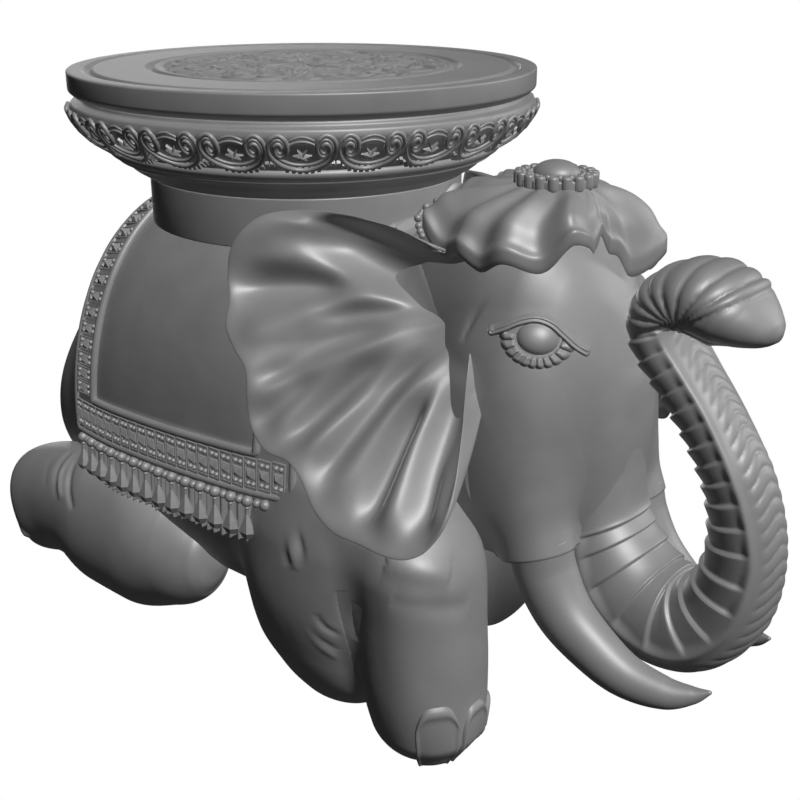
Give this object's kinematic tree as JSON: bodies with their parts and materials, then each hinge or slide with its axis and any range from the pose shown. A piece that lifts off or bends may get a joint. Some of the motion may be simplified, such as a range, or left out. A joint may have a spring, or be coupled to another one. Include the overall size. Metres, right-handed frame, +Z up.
{
  "type": "elephant stool",
  "caption": "Carved wooden stool: a kneeling elephant in saddlecloth and headcloth carries a round turned seat on a drum; its trunk curls up in front.",
  "frame": {"origin": "on the floor, on the axis of the round seat", "axes": "+Z up along the seat's axis, +X towards the trunk, +Y to the elephant's left"},
  "size_m": [0.6302, 0.32, 0.4103],
  "materials": {
    "seat_wood": "grey satin lacquer over turned wood",
    "elephant_wood": "grey satin lacquer over carved wood",
    "cloth_carving": "grey satin lacquer over carved relief",
    "medallion_carving": "grey satin lacquer over carved relief",
    "dowel_wood": "bare hardwood"
  },
  "bodies": {
    "root": {"seat_top": "seat_wood", "seat_bowl": "seat_wood", "seat_moulding": "seat_wood", "pedestal_drum": "seat_wood", "seat_dowel": "dowel_wood", "torso": "elephant_wood", "tail": "elephant_wood", "head": "elephant_wood", "trunk": "elephant_wood", "trunk_dowel": "dowel_wood", "neck_dowel": "dowel_wood", "left_ear": "elephant_wood", "right_ear": "elephant_wood", "left_tusk": "elephant_wood", "right_tusk": "elephant_wood", "left_eye": "elephant_wood", "right_eye": "elephant_wood", "left_foreleg": "elephant_wood", "right_foreleg": "elephant_wood", "left_toenails": "elephant_wood", "right_toenails": "elephant_wood", "left_hindleg": "elephant_wood", "right_hindleg": "elephant_wood", "left_fore_dowel": "dowel_wood", "right_fore_dowel": "dowel_wood", "left_hind_dowel": "dowel_wood", "right_hind_dowel": "dowel_wood", "saddlecloth": "cloth_carving", "border_outer_cord": "cloth_carving", "border_band": "cloth_carving", "border_inner_cord": "cloth_carving", "border_gems": "cloth_carving", "left_fringe": "cloth_carving", "right_fringe": "cloth_carving", "left_fringe_beads": "cloth_carving", "right_fringe_beads": "cloth_carving", "left_fringe_drops": "cloth_carving", "right_fringe_drops": "cloth_carving", "headcloth": "cloth_carving", "medallion_plate": "medallion_carving", "cabochon": "medallion_carving", "bead_ring": "medallion_carving", "petal_ring": "medallion_carving"}
  },
  "joints": []
}
